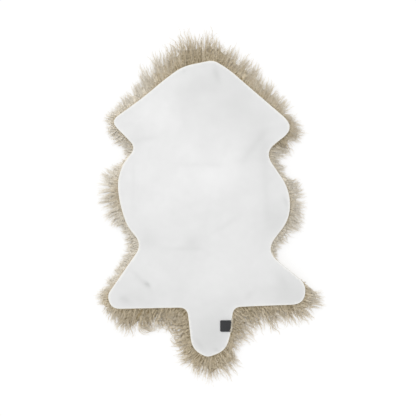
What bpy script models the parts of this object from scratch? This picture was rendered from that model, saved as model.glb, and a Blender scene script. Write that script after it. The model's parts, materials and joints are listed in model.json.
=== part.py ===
"""A sheepskin rug lying wool side down, seen from its skin side.

Three pieces, in metres with +Z up. X runs across the animal, +Y runs towards its neck:
  fleece  the wool: a lumpy slab on the floor, with a fringe of locks past the skin's edge
  hide    the tanned skin on top of it, one thin sheet in its own outline
  label   a folded woven tape, caught at the skin's edge beside the tail and left plain
"""

import math
import random
from collections import namedtuple

import bmesh
import bpy
from mathutils import Matrix, Vector, geometry, noise
from mathutils.bvhtree import BVHTree

# ---------------------------------------------------------------- driving sizes, in metres
HIDE_THICKNESS = 0.002
WOOL_DEPTH = 0.030  # the fleece under the skin, pressed flat by it
GAP = 0.0003  # between pieces that touch

COLUMNS = 240  # steps round the skin's edge, one lock to each
INNER_SPACING = 0.032  # between the points of the surfaces inside the edge
ARC_STEPS = 8  # straight steps in each rounded corner of the outline

EDGE_DROOP = 0.006  # how far the skin's rim sinks into the wool that splays out from under it
EDGE_DROOP_WIDTH = 0.035
HOLLOW_RISE = 0.012  # the hollows between the wool's lumps, above the floor
HOLLOW_SIZE = 0.055  # from one lump to the next
FOOT_RADIUS = 0.060  # the wool is pressed flat on the floor this far round the middle

LOCK_BELLY = 0.90  # a lock's widest, as a share of the way to the next one
LOCK_LEAST_WIDTH = 0.003
LOCK_BEND = 0.10  # how far a lock curves aside, as a share of its length
LENGTH_SPREAD = 0.14  # how far the locks' lengths differ, as a share
TURN_SPREAD_DEG = 6.0  # how far their directions differ, with the same turn for near ones
CLUMP_SIZE = 0.060  # how near locks turn and bend alike
DIRECTION_WINDOW = 6  # the edge's direction is averaged over this many steps on each side

LABEL_FOLD_X = 0.035  # where the tape is folded; both its ends are at the skin's edge
LABEL_LENGTH = 0.031  # along the edge
LABEL_Y = -0.323  # its middle, beside the tail
LABEL_THICKNESS = 0.0005
LABEL_PLY_GAP = 0.0004
LABEL_SLACK = 0.0002  # how much further than GAP the tape is from the skin, which bends
LABEL_ROWS = 5

# The skin's edge is a polygon whose corners are rounded, clockwise from the neck: round is how
# far from the corner its curve starts, reach is how far the wool shows past the edge there, and
# lean is how far the wool turns from straight out, in degrees clockwise seen from above.
Corner = namedtuple("Corner", "name x y round reach lean")
CORNERS = (
    Corner("neck left", -0.068, 0.382, 0.027, 0.084, 12),
    Corner("neck peak", 0.015, 0.399, 0.014, 0.084, 0),
    Corner("neck right", 0.053, 0.378, 0.027, 0.070, 8),
    Corner("shoulder right", 0.241, 0.216, 0.046, 0.048, 4),
    Corner("armpit right", 0.154, 0.149, 0.038, 0.036, 12),
    Corner("ribs right", 0.223, 0.049, 0.040, 0.040, 0),
    Corner("flank right", 0.225, -0.031, 0.039, 0.048, 14),
    Corner("waist right", 0.157, -0.119, 0.043, 0.020, 14),
    Corner("thigh right", 0.266, -0.208, 0.019, 0.008, 10),
    Corner("hind leg right", 0.265, -0.264, 0.035, 0.054, -8),
    Corner("groin right", 0.135, -0.269, 0.010, 0.060, -12),
    Corner("crotch right", 0.070, -0.272, 0.021, 0.034, 0),
    Corner("tail root right", 0.062, -0.346, 0.010, 0.048, 0),
    Corner("tail right", 0.050, -0.389, 0.026, 0.052, 0),
    Corner("tail tip", 0.000, -0.409, 0.014, 0.074, 0),
    Corner("tail left", -0.042, -0.387, 0.029, 0.064, -18),
    Corner("crotch left", -0.055, -0.273, 0.022, 0.034, 0),
    Corner("groin left", -0.115, -0.274, 0.010, 0.058, 10),
    Corner("hind leg left", -0.262, -0.277, 0.024, 0.052, 10),
    Corner("thigh left", -0.272, -0.239, 0.013, 0.036, 0),
    Corner("waist left", -0.177, -0.102, 0.032, 0.030, -4),
    Corner("flank left", -0.219, -0.051, 0.022, 0.040, -8),
    Corner("ribs left", -0.239, 0.011, 0.031, 0.048, 0),
    Corner("chest left", -0.246, 0.077, 0.034, 0.054, 4),
    Corner("elbow left", -0.228, 0.118, 0.005, 0.008, 0),
    Corner("armpit left", -0.1945, 0.162, 0.022, 0.014, 0),
    Corner("shoulder left", -0.264, 0.233, 0.026, 0.028, -6),
    Corner("neck slope left", -0.1765, 0.296, 0.034, 0.042, 0),
    Corner("neck side left", -0.115, 0.3475, 0.020, 0.070, 10),
)

# Soft swells and dips of the skin over the uneven wool.
Swell = namedtuple("Swell", "name x y radius rise")
SWELLS = (
    Swell("neck", 0.030, 0.300, 0.090, -0.003),
    Swell("withers", -0.120, 0.200, 0.080, 0.003),
    Swell("shoulder", 0.130, 0.190, 0.080, 0.002),
    Swell("back", 0.050, 0.060, 0.110, 0.003),
    Swell("ribs", -0.160, 0.020, 0.070, -0.002),
    Swell("loin", -0.020, -0.110, 0.080, -0.002),
    Swell("rump", 0.070, -0.200, 0.080, 0.003),
    Swell("thigh", -0.170, -0.210, 0.070, 0.002),
    Swell("tail", 0.000, -0.340, 0.050, 0.001),
)

# A lock's cross-sections, root first: along is the share of its length, wide the share of the
# room between its neighbours, and low and high its lower and upper face as shares of the
# wool's depth there.
Section = namedtuple("Section", "along wide low high")
FLOOR_LOCK = (  # lies on the floor
    Section(0.38, LOCK_BELLY, 0.00, 0.36),
    Section(0.74, 0.70, 0.00, 0.17),
    Section(1.00, 0.00, 0.00, 0.03),
)
COVER_LOCK = (  # starts under the skin, and comes down between two floor locks
    Section(0.36, LOCK_BELLY, 0.44, 0.84),
    Section(0.70, 0.66, 0.20, 0.42),
    Section(0.94, 0.00, 0.00, 0.04),
)

# One step of the skin's edge, and the lock that grows there: path is its sections' middles.
Step = namedtuple("Step", "point reach lean")
Lock = namedtuple("Lock", "sections root run path")


# ---------------------------------------------------------------- the skin's outline
def rounded_outline(corners):
    """The edge as a dense row of points, each corner's curve a quadratic one."""
    places = [Vector((corner.x, corner.y)) for corner in corners]
    steps = []
    for i, corner in enumerate(corners):
        here = places[i]
        start = here + (places[i - 1] - here).normalized() * corner.round
        end = here + (places[(i + 1) % len(places)] - here).normalized() * corner.round
        for k in range(ARC_STEPS + 1):
            t = k / ARC_STEPS
            point = start.lerp(here, t).lerp(here.lerp(end, t), t)
            steps.append(Step(point, corner.reach, corner.lean))
    return steps


def evenly_spaced(steps, count):
    """The same edge in count equal steps."""
    closed = steps + steps[:1]
    along = [0.0]
    for a, b in zip(closed, closed[1:]):
        along.append(along[-1] + (b.point - a.point).length)
    spaced = []
    k = 0
    for i in range(count):
        wanted = along[-1] * i / count
        while along[k + 1] < wanted:
            k += 1
        share = (wanted - along[k]) / (along[k + 1] - along[k])
        a, b = closed[k], closed[k + 1]
        reach = a.reach + (b.reach - a.reach) * share
        lean = a.lean + (b.lean - a.lean) * share
        spaced.append(Step(a.point.lerp(b.point, share), reach, lean))
    return spaced


def is_inside(point, edge):
    """Whether a point is inside the outline, by how often a line to its right crosses it."""
    crossings = 0
    for a, b in zip(edge, edge[1:] + edge[:1]):
        if (a.y > point.y) != (b.y > point.y):
            crossings += point.x < a.x + (b.x - a.x) * (point.y - a.y) / (b.y - a.y)
    return crossings % 2 == 1


def plan_surface(edge):
    """Points and triangles that fill the outline: its own points first, then an even field."""
    left = min(p.x for p in edge)
    width = max(p.x for p in edge) - left
    foot = min(p.y for p in edge)
    height = max(p.y for p in edge) - foot
    row_step = INNER_SPACING * math.sin(math.pi / 3)
    field = []
    for row in range(int(height / row_step) + 1):
        shift = INNER_SPACING / 2 * (row % 2)
        for column in range(int(width / INNER_SPACING) + 1):
            point = Vector((left + shift + column * INNER_SPACING, foot + row * row_step))
            if is_inside(point, edge) and min((point - p).length for p in edge) > INNER_SPACING / 2:
                field.append(point)
    ring = [(i, (i + 1) % len(edge)) for i in range(len(edge))]
    fill_inside = 1
    points, _, faces, *_ = geometry.delaunay_2d_cdt(edge + field, ring, [], fill_inside, 1e-6)
    return points, faces


# ---------------------------------------------------------------- heights
def skin_height(point, edge):
    """The height of the skin's underside: swells, and a rim that droops."""
    z = WOOL_DEPTH
    for swell in SWELLS:
        distance = (point - Vector((swell.x, swell.y))).length / swell.radius
        z += swell.rise * math.exp(-distance * distance)
    from_edge = min((point - p).length for p in edge) / EDGE_DROOP_WIDTH
    return z - EDGE_DROOP * math.exp(-from_edge * from_edge)


def wool_underside(point):
    """The lumpy lower face of the wool: flat on the floor, with hollows between its lumps."""
    hollows = noise.noise(point.to_3d() / HOLLOW_SIZE) * 2.0 + 0.1
    off_foot = min(1.0, max(0.0, point.length / FOOT_RADIUS - 1.0))
    return max(0.0, HOLLOW_RISE * hollows) * off_foot


# ---------------------------------------------------------------- helpers
def clear_scene():
    for obj in list(bpy.data.objects):
        bpy.data.objects.remove(obj, do_unlink=True)


def make_material(name, colour, roughness):
    material = bpy.data.materials.new(name)
    material.use_nodes = True
    shader = material.node_tree.nodes["Principled BSDF"]
    shader.inputs["Base Color"].default_value = (*colour, 1.0)
    shader.inputs["Roughness"].default_value = roughness
    shader.inputs["Metallic"].default_value = 0.0
    return material


def add_object(name, bm, rug, collection, material):
    mesh = bpy.data.meshes.new(name)
    bm.to_mesh(mesh)
    bm.free()
    mesh.materials.append(material)
    mesh.shade_smooth()
    obj = bpy.data.objects.new(name, mesh)
    obj.parent = rug
    collection.objects.link(obj)
    return obj


def thicken(obj, thickness, offset):
    """Solidify: offset 1 puts all the thickness on the side that the faces point to."""
    shell = obj.modifiers.new("thickness", "SOLIDIFY")
    shell.thickness = thickness
    shell.offset = offset
    shell.use_even_offset = True


# ---------------------------------------------------------------- the hide
def make_hide(points, faces, heights, rug, collection):
    bm = bmesh.new()
    verts = [bm.verts.new((p.x, p.y, z + GAP)) for p, z in zip(points, heights)]
    for face in faces:
        bm.faces.new([verts[i] for i in face])
    material = make_material("tanned_skin", (0.80, 0.81, 0.80), 0.75)
    hide = add_object("hide", bm, rug, collection, material)
    thicken(hide, HIDE_THICKNESS, 1.0)
    return hide


# ---------------------------------------------------------------- the fleece
def clump_turn(point, salt):
    """A number from -1 to 1 that changes slowly along the edge."""
    return max(-1.0, min(1.0, noise.noise(Vector((*point, salt)) / CLUMP_SIZE) * 1.6))


def plan_locks(steps):
    """A lock for each step of the edge: floor locks, with cover locks at the odd steps."""
    rng = random.Random(7)
    count = len(steps)
    runs = [steps[(i + 1) % count].point - steps[i].point for i in range(count)]
    locks = []
    for i, step in enumerate(steps):
        mean = Vector((0.0, 0.0))
        for k in range(-DIRECTION_WINDOW, DIRECTION_WINDOW + 1):
            mean += runs[(i + k) % count] * (DIRECTION_WINDOW + 1 - abs(k))
        root = step.point + runs[i] / 2
        turn = math.radians(90.0 - step.lean + TURN_SPREAD_DEG * clump_turn(root, 0.3))
        out = Matrix.Rotation(turn, 2) @ mean.normalized()
        side = Vector((-out.y, out.x))
        length = step.reach * (1.0 + rng.uniform(-LENGTH_SPREAD, LENGTH_SPREAD))
        bend = length * LOCK_BEND * clump_turn(root, 0.7)
        sections = COVER_LOCK if i % 2 else FLOOR_LOCK
        path = [root + out * length * s.along + side * bend * s.along**2 for s in sections]
        locks.append(Lock(sections, root, runs[i].normalized(), path))
    return locks


def grow_lock(bm, face, before, lock, after, depth):
    """Pulls one face of the wool's wall out into a curved, tapering lock."""
    last = lock.root
    for k, section in enumerate(lock.sections):
        centre = lock.path[k]
        heading = (centre - last).normalized()
        last = centre
        side = Vector((heading.y, -heading.x))
        if side.dot(lock.run) < 0:
            side = -side
        middle = face.calc_center_median()
        order = [((v.co - middle).xy.dot(side) > 0, v.co.z > middle.z) for v in face.verts]
        face = bmesh.ops.extrude_discrete_faces(bm, faces=[face])["faces"][0]
        room = min((after.path[k] - centre).dot(side), (centre - before.path[k]).dot(side))
        half = max(LOCK_LEAST_WIDTH, room) / 2 * section.wide
        for vert, (is_far, is_high) in zip(face.verts, order):
            place = centre + side * (half if is_far else -half)
            vert.co = (*place, depth * (section.high if is_high else section.low))
    tip = sum((v.co for v in face.verts), Vector()) / len(face.verts)
    bmesh.ops.pointmerge(bm, verts=face.verts[:], merge_co=tip)


def make_fleece(points, faces, heights, locks, rug, collection):
    """The slab is a loft from the skin's underside to the floor, with a belt halfway down its
    wall: a floor lock grows from below the belt, and a cover lock from above it."""
    bm = bmesh.new()
    top = [bm.verts.new((p.x, p.y, z)) for p, z in zip(points, heights)]
    bottom = [bm.verts.new((p.x, p.y, wool_underside(p))) for p in points]
    for face in faces:
        bm.faces.new([top[i] for i in face])
        bm.faces.new([bottom[i] for i in reversed(face)])
    count = len(locks)
    belt = [bm.verts.new((top[i].co + bottom[i].co) / 2) for i in range(count)]
    roots = []
    for i in range(count):
        k = (i + 1) % count
        upper = bm.faces.new((top[i], top[k], belt[k], belt[i]))
        lower = bm.faces.new((belt[i], belt[k], bottom[k], bottom[i]))
        roots.append(upper if i % 2 else lower)
    bmesh.ops.recalc_face_normals(bm, faces=bm.faces)
    for i, root in enumerate(roots):
        k = (i + 1) % count
        grow_lock(bm, root, locks[i - 1], locks[i], locks[k], min(top[i].co.z, top[k].co.z))
    material = make_material("wool", (0.50, 0.44, 0.35), 0.95)
    return add_object("fleece", bm, rug, collection, material)


# ---------------------------------------------------------------- the label
def label_line(y, tree):
    """One line across the folded tape: in from the skin's edge, round the fold, and back."""
    rim_level = WOOL_DEPTH - EDGE_DROOP + HIDE_THICKNESS / 2
    from_right = Vector((-1.0, 0.0, 0.0))
    edge_x = tree.ray_cast(Vector((LABEL_FOLD_X * 4, y, rim_level)), from_right)[0].x

    def skin_top(x):
        return tree.ray_cast(Vector((x, y, WOOL_DEPTH * 2)), Vector((0.0, 0.0, -1.0)))[0].z

    rim = skin_top(edge_x - GAP)

    def ply(offset):
        line = [Vector((edge_x + offset, y, rim - HIDE_THICKNESS))]
        for degrees in (0, 30, 60, 90):
            x = edge_x + offset * math.cos(math.radians(degrees))
            line.append(Vector((x, y, rim + offset * math.sin(math.radians(degrees)))))
        for share in (0.2, 0.4, 0.6, 0.8, 1.0):
            x = edge_x + (LABEL_FOLD_X - edge_x) * share
            line.append(Vector((x, y, skin_top(x) + offset)))
        return line

    nearest = GAP + LABEL_SLACK + LABEL_THICKNESS / 2
    farthest = nearest + LABEL_THICKNESS + LABEL_PLY_GAP
    lower = ply(nearest)
    upper = ply(farthest)
    fold = (farthest - nearest) / 2
    return lower + [lower[-1] + Vector((-fold, 0.0, fold))] + upper[::-1]


def make_label(hide, rug, collection):
    tree = BVHTree.FromObject(hide, bpy.context.evaluated_depsgraph_get())
    bm = bmesh.new()
    lines = []
    for row in range(LABEL_ROWS):
        y = LABEL_Y + LABEL_LENGTH * (row / (LABEL_ROWS - 1) - 0.5)
        lines.append([bm.verts.new(p) for p in label_line(y, tree)])
    for first, second in zip(lines, lines[1:]):
        for a, b, c, d in zip(first, first[1:], second[1:], second):
            bm.faces.new((a, b, c, d))
    material = make_material("woven_tape", (0.05, 0.05, 0.06), 0.85)
    label = add_object("label", bm, rug, collection, material)
    thicken(label, LABEL_THICKNESS, 0.0)
    return label


def centre_on_origin(rug, pieces):
    """Moves the rug so that the origin is on the floor under the middle of the whole."""
    spots = [v.co for piece in pieces for v in piece.data.vertices]
    rug.location.x = -(min(s.x for s in spots) + max(s.x for s in spots)) / 2
    rug.location.y = -(min(s.y for s in spots) + max(s.y for s in spots)) / 2


def main():
    clear_scene()
    collection = bpy.data.collections.new("sheepskin_rug")
    bpy.context.scene.collection.children.link(collection)
    rug = bpy.data.objects.new("rug", None)
    collection.objects.link(rug)

    steps = evenly_spaced(rounded_outline(CORNERS), COLUMNS)
    edge = [step.point for step in steps]
    points, faces = plan_surface(edge)
    heights = [skin_height(p, edge) for p in points]
    fleece = make_fleece(points, faces, heights, plan_locks(steps), rug, collection)
    hide = make_hide(points, faces, heights, rug, collection)
    label = make_label(hide, rug, collection)
    centre_on_origin(rug, [fleece, hide, label])


main()
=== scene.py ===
# %% [markdown]
# # A sheepskin rug, lying on its wool
#
# The rug is one whole tanned sheepskin in its natural outline. It lies wool side down, so the
# camera above it sees three things: the pale suede-like skin, the long wool that splays out
# from under its edge all round, and a small folded tape that is sewn in beside the tail.
#
# The script dresses a fixed frame: three plain solids (fleece, hide and label) whose sizes are
# right. Each of them is hidden and replaced with a piece that has the detail of the real one.
# Everything is in metres. X runs across the animal, +Y towards its neck, and +Z is up.

# %% Load the frame and keep its size
import json
import math
import random
from collections import namedtuple

import bmesh
import bpy
from mathutils import Matrix, Vector, geometry, noise
from mathutils.bvhtree import BVHTree
from mathutils.kdtree import KDTree

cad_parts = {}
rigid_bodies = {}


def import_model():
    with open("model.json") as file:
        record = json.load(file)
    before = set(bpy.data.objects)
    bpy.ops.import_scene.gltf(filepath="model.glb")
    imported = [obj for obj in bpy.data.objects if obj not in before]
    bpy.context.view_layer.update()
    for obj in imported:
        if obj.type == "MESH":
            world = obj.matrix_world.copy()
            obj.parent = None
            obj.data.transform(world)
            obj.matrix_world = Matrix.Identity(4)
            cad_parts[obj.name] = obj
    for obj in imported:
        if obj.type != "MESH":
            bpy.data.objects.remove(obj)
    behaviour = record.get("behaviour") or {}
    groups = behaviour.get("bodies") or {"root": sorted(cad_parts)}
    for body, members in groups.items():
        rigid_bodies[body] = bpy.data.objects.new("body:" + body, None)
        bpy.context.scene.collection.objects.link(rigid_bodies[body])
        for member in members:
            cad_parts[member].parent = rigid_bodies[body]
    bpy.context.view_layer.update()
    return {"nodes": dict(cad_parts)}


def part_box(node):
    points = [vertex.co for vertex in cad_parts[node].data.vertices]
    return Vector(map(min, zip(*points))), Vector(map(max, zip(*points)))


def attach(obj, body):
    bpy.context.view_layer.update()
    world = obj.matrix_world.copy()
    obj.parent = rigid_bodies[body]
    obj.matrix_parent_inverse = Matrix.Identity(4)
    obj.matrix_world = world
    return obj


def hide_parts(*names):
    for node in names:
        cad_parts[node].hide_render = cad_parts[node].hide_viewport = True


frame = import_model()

print("the frame's nodes:", sorted(frame["nodes"]))

# %% [markdown]
# ## The skin's outline
#
# A skin's edge is a cut line with long soft curves: neck, shoulders, armpits, ribs, waist,
# hind legs and tail. It could be drawn as a Bezier curve, but a short table of corners is
# easier to read and to change. Each corner is rounded: `round` is how far before it the curve
# starts.

# %% The corners of the outline, clockwise from the neck
Corner = namedtuple("Corner", "name x y round")
CORNERS = (
    Corner("neck_left", -0.068, 0.382, 0.027),
    Corner("neck_peak", 0.015, 0.399, 0.014),
    Corner("neck_right", 0.053, 0.378, 0.027),
    Corner("shoulder_right", 0.241, 0.216, 0.046),
    Corner("armpit_right", 0.154, 0.149, 0.038),
    Corner("ribs_right", 0.223, 0.049, 0.040),
    Corner("flank_right", 0.225, -0.031, 0.039),
    Corner("waist_right", 0.157, -0.119, 0.043),
    Corner("thigh_right", 0.266, -0.208, 0.019),
    Corner("hind_leg_right", 0.265, -0.264, 0.035),
    Corner("groin_right", 0.135, -0.269, 0.010),
    Corner("crotch_right", 0.070, -0.272, 0.021),
    Corner("tail_root_right", 0.062, -0.346, 0.010),
    Corner("tail_right", 0.050, -0.389, 0.026),
    Corner("tail_tip", 0.000, -0.409, 0.014),
    Corner("tail_left", -0.042, -0.387, 0.029),
    Corner("crotch_left", -0.055, -0.273, 0.022),
    Corner("groin_left", -0.115, -0.274, 0.010),
    Corner("hind_leg_left", -0.262, -0.277, 0.024),
    Corner("thigh_left", -0.272, -0.239, 0.013),
    Corner("waist_left", -0.177, -0.102, 0.032),
    Corner("flank_left", -0.219, -0.051, 0.022),
    Corner("ribs_left", -0.239, 0.011, 0.031),
    Corner("chest_left", -0.246, 0.077, 0.034),
    Corner("elbow_left", -0.228, 0.118, 0.005),
    Corner("armpit_left", -0.1945, 0.162, 0.022),
    Corner("shoulder_left", -0.264, 0.233, 0.026),
    Corner("neck_slope_left", -0.1765, 0.296, 0.034),
    Corner("neck_side_left", -0.115, 0.3475, 0.020),
)
ARC_STEPS = 8  # straight steps in each rounded corner


def rounded_outline():
    """The edge as a dense row of points, with the same number of them at each corner."""
    places = [Vector((corner.x, corner.y)) for corner in CORNERS]
    points = []
    for i, corner in enumerate(CORNERS):
        here = places[i]
        start = here + (places[i - 1] - here).normalized() * corner.round
        end = here + (places[(i + 1) % len(places)] - here).normalized() * corner.round
        for k in range(ARC_STEPS + 1):
            t = k / ARC_STEPS
            points.append(start.lerp(here, t).lerp(here.lerp(end, t), t))
    return points


outline = rounded_outline()
hide_low, hide_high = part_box("hide")
low_x, high_x = min(p.x for p in outline), max(p.x for p in outline)
low_y, high_y = min(p.y for p in outline), max(p.y for p in outline)
# The frame's origin is under the middle of the whole rug, so the outline moves there.
shift = Vector(
    (
        (hide_low[0] + hide_high[0] - low_x - high_x) / 2,
        (hide_low[1] + hide_high[1] - low_y - high_y) / 2,
    )
)
outline = [p + shift for p in outline]
print(f"outline {high_x - low_x:.4f} x {high_y - low_y:.4f} m, shift {shift.x:.4f} {shift.y:.4f}")

# %% [markdown]
# ## How the wool grows along the edge
#
# The wool isn't the same all round. It is long and stands in points at the neck, curls at the
# left leg, and is nearly rubbed away at the left elbow and the right thigh. Each row below is
# one place on the edge: `share` of the way from a corner to the next. `reach` is how far the
# longest wisps show past the edge, in metres, and `lean` how far they turn clockwise from
# straight out, in degrees. `clump` is how pointed the clumps are, from 0 to 1, and `curl` the
# share of them whose tips curl. `thick` is how much wool there is: 1 is the usual, and more
# than that fills its ends. `pale` is how much paler it is, or a little darker below 0: partly
# the wool's own tone, and partly painted light where short, thin wool lets light through and
# little shade falls in it.

# %% The wool's places
Growth = namedtuple("Growth", "corner share reach lean clump curl thick pale")
GROWTHS = (
    Growth("neck_left", 0.0, 0.079, 14, 0.9, 0.0, 1.3, 0.0),
    Growth("neck_left", 0.5, 0.088, 10, 1.0, 0.0, 1.2, -0.1),
    Growth("neck_peak", 0.0, 0.064, 4, 1.0, 0.0, 1.0, 0.0),
    Growth("neck_peak", 0.5, 0.062, -4, 0.8, 0.05, 1.1, 0.1),
    Growth("neck_right", 0.0, 0.057, -8, 0.6, 0.0, 1.0, 0.35),
    Growth("neck_right", 0.3, 0.059, -10, 0.5, 0.0, 1.0, 0.5),
    Growth("neck_right", 0.7, 0.042, 8, 0.3, 0.0, 1.0, 0.7),
    Growth("neck_right", 0.9, 0.02, 60, 0.3, 0.0, 1.0, 0.75),
    Growth("shoulder_right", 0.0, 0.036, 44, 0.8, 0.0, 1.2, 0.6),
    Growth("shoulder_right", 0.2, 0.036, -14, 0.7, 0.0, 1.0, 0.5),
    Growth("shoulder_right", 0.5, 0.053, 4, 1.0, 0.0, 0.9, 0.3),
    Growth("armpit_right", 0.0, 0.047, 10, 0.4, 0.0, 0.8, 1.5),
    Growth("armpit_right", 0.5, 0.018, 30, 0.1, 0.0, 0.7, 2.1),
    Growth("ribs_right", 0.0, 0.04, -4, 0.3, 0.0, 0.9, 1.6),
    Growth("flank_right", 0.0, 0.045, 8, 0.5, 0.0, 0.9, 1.6),
    Growth("flank_right", 0.5, 0.037, 8, 0.6, 0.0, 0.7, 1.9),
    Growth("waist_right", 0.0, 0.022, 14, 0.1, 0.0, 0.8, 3.0),
    Growth("waist_right", 0.3, 0.001, 12, 0.3, 0.0, 0.0, 0.0),
    Growth("waist_right", 0.9, 0.001, 20, 0.3, 0.0, 0.0, 0.0),
    Growth("thigh_right", 0.0, 0.02, 52, 0.2, 0.0, 1.0, 0.95),
    Growth("thigh_right", 0.5, 0.054, 13, 0.3, 0.0, 1.0, 0.8),
    Growth("hind_leg_right", 0.0, 0.05, -22, 0.5, 0.0, 1.0, 0.5),
    Growth("hind_leg_right", 0.3, 0.052, -40, 0.8, 0.05, 1.0, 0.0),
    Growth("groin_right", 0.0, 0.058, -40, 1.0, 0.12, 1.0, 0.1),
    Growth("groin_right", 0.5, 0.066, -26, 1.0, 0.2, 1.0, 0.0),
    Growth("crotch_right", 0.0, 0.08, 0, 0.8, 0.22, 1.3, 0.1),
    Growth("crotch_right", 0.5, 0.067, 18, 0.7, 0.22, 1.4, 0.1),
    Growth("tail_root_right", 0.0, 0.034, 34, 0.6, 0.2, 1.5, 0.4),
    Growth("tail_root_right", 0.5, 0.04, 30, 0.6, 0.15, 1.5, 0.35),
    Growth("tail_right", 0.0, 0.069, 14, 0.5, 0.1, 1.6, 0.15),
    Growth("tail_right", 0.5, 0.064, 6, 0.5, 0.16, 1.6, 0.1),
    Growth("tail_tip", 0.0, 0.063, 2, 0.6, 0.16, 1.6, 0.05),
    Growth("tail_left", 0.0, 0.052, -10, 0.6, 0.2, 1.5, 0.0),
    Growth("tail_left", 0.5, 0.056, -8, 0.8, 0.25, 1.3, 0.0),
    Growth("crotch_left", 0.0, 0.062, -4, 0.8, 0.24, 1.2, 0.0),
    Growth("crotch_left", 0.5, 0.067, 8, 0.8, 0.28, 1.3, 0.0),
    Growth("groin_left", 0.0, 0.047, 20, 0.8, 0.3, 1.3, -0.05),
    Growth("groin_left", 0.5, 0.069, 22, 0.8, 0.15, 1.9, -0.1),
    Growth("groin_left", 0.8, 0.05, 10, 0.7, 0.08, 1.8, 0.0),
    Growth("hind_leg_left", 0.0, 0.028, 4, 0.5, 0.08, 1.0, 0.3),
    Growth("thigh_left", 0.0, 0.038, -4, 0.4, 0.0, 1.0, 0.8),
    Growth("thigh_left", 0.3, 0.017, -16, 0.2, 0.0, 1.0, 1.7),
    Growth("waist_left", 0.0, 0.036, -10, 0.2, 0.0, 1.0, 2.2),
    Growth("flank_left", 0.0, 0.023, -4, 0.3, 0.0, 1.0, 2.3),
    Growth("flank_left", 0.5, 0.044, -6, 0.5, 0.0, 1.0, 1.8),
    Growth("ribs_left", 0.0, 0.056, -6, 0.6, 0.0, 1.0, 1.05),
    Growth("ribs_left", 0.5, 0.06, 0, 0.5, 0.0, 1.0, 1.1),
    Growth("chest_left", 0.0, 0.048, 6, 0.3, 0.0, 1.0, 1.6),
    Growth("chest_left", 0.5, 0.025, 8, 0.2, 0.0, 0.9, 2.0),
    Growth("elbow_left", 0.0, 0.011, 0, 0.1, 0.0, 0.5, 2.4),
    Growth("elbow_left", 0.5, 0.016, -10, 0.1, 0.0, 0.6, 2.4),
    Growth("armpit_left", 0.0, 0.028, -10, 0.2, 0.0, 0.9, 1.8),
    Growth("armpit_left", 0.5, 0.037, -8, 0.2, 0.0, 1.0, 1.8),
    Growth("shoulder_left", 0.0, 0.027, 0, 0.2, 0.0, 1.0, 1.4),
    Growth("shoulder_left", 0.5, 0.03, 4, 0.1, 0.0, 1.0, 1.6),
    Growth("neck_slope_left", 0.0, 0.045, 6, 0.2, 0.0, 1.0, 1.6),
    Growth("neck_slope_left", 0.5, 0.067, 10, 0.4, 0.0, 1.0, 1.3),
    Growth("neck_side_left", 0.0, 0.076, 14, 0.6, 0.0, 1.0, 0.7),
)

# %% Walk round the edge in equal steps
Step = namedtuple("Step", ("point",) + Growth._fields[2:])

lengths = [0.0]  # along the outline, up to each of its points
for a, b in zip(outline, outline[1:] + outline[:1]):
    lengths.append(lengths[-1] + (b - a).length)
perimeter = lengths[-1]
corner_names = [corner.name for corner in CORNERS]


def corner_place(number):
    """How far along the outline the middle of a corner's curve is."""
    rounds, number = divmod(number, len(CORNERS))
    return lengths[number * (ARC_STEPS + 1) + ARC_STEPS // 2] + rounds * perimeter


def growth_place(growth):
    """How far along the outline a row of the table is."""
    number = corner_names.index(growth.corner)
    here, after = corner_place(number), corner_place(number + 1)
    return here + (after - here) * growth.share


stations = sorted((growth_place(growth), growth) for growth in GROWTHS)
stations.insert(0, (stations[-1][0] - perimeter, stations[-1][1]))
stations.append((stations[1][0] + perimeter, stations[1][1]))


def evenly_spaced(spacing):
    """The edge in equal steps, each with its point and the wool's growth there."""
    count = round(perimeter / spacing)
    closed = outline + outline[:1]
    steps = []
    k = 0
    near = 0
    for i in range(count):
        wanted = perimeter * i / count
        while lengths[k + 1] < wanted:
            k += 1
        while stations[near + 1][0] < wanted:
            near += 1
        share = (wanted - lengths[k]) / (lengths[k + 1] - lengths[k])
        (start, first), (end, second) = stations[near], stations[near + 1]
        blend = (wanted - start) / (end - start)
        growth = [x + (y - x) * blend for x, y in zip(first[2:], second[2:])]
        steps.append(Step(closed[k].lerp(closed[k + 1], share), *growth))
    return steps, perimeter / count


def smoothed_normals(steps, window):
    """The direction straight out of the edge at each step, averaged over a window."""
    count = len(steps)
    runs = [steps[(i + 1) % count].point - steps[i - 1].point for i in range(count)]
    normals = []
    for i in range(count):
        mean = Vector((0.0, 0.0))
        for k in range(-window, window + 1):
            mean += runs[(i + k) % count] * (window + 1 - abs(k))
        normals.append(Vector((-mean.y, mean.x)).normalized())
    return normals


EDGE_STEP = 0.0025
edge_steps, _ = evenly_spaced(EDGE_STEP)
edge = [step.point for step in edge_steps]
edge_out = smoothed_normals(edge_steps, 1)
edge_finder = KDTree(len(edge))
for i, place in enumerate(edge):
    edge_finder.insert(place.to_3d(), i)
edge_finder.balance()
print(f"the edge is {len(edge) * EDGE_STEP:.2f} m long, in {len(edge)} steps")

# %% [markdown]
# ## Heights
#
# The wool holds the skin about 30 mm off the floor, a little more or less from place to place,
# and its rim sinks into the wool that splays out from under it. A formula gives that height at
# any point, so every piece that touches the skin can ask for it: the skin itself, the wool's
# body, the roots of the locks and the tape. Slow swells, and later the skin's grey and paler
# patches, are round spots that fade out softly, so one table form and one function serve them
# all.

# %% The height of the skin's underside
WOOL_DEPTH = 0.030
HIDE_THICKNESS = 0.002
GAP = 0.0003
EDGE_DROOP = 0.006
EDGE_DROOP_WIDTH = 0.035

Spot = namedtuple("Spot", "name x y radius amount")
SWELLS = (
    Spot("neck", 0.030, 0.300, 0.090, -0.003),
    Spot("withers", -0.120, 0.200, 0.080, 0.003),
    Spot("shoulder", 0.130, 0.190, 0.080, 0.002),
    Spot("back", 0.050, 0.060, 0.110, 0.003),
    Spot("ribs", -0.160, 0.020, 0.070, -0.002),
    Spot("loin", -0.020, -0.110, 0.080, -0.002),
    Spot("rump", 0.070, -0.200, 0.080, 0.003),
    Spot("thigh", -0.170, -0.210, 0.070, 0.002),
    Spot("tail", 0.000, -0.340, 0.050, 0.001),
)


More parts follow.
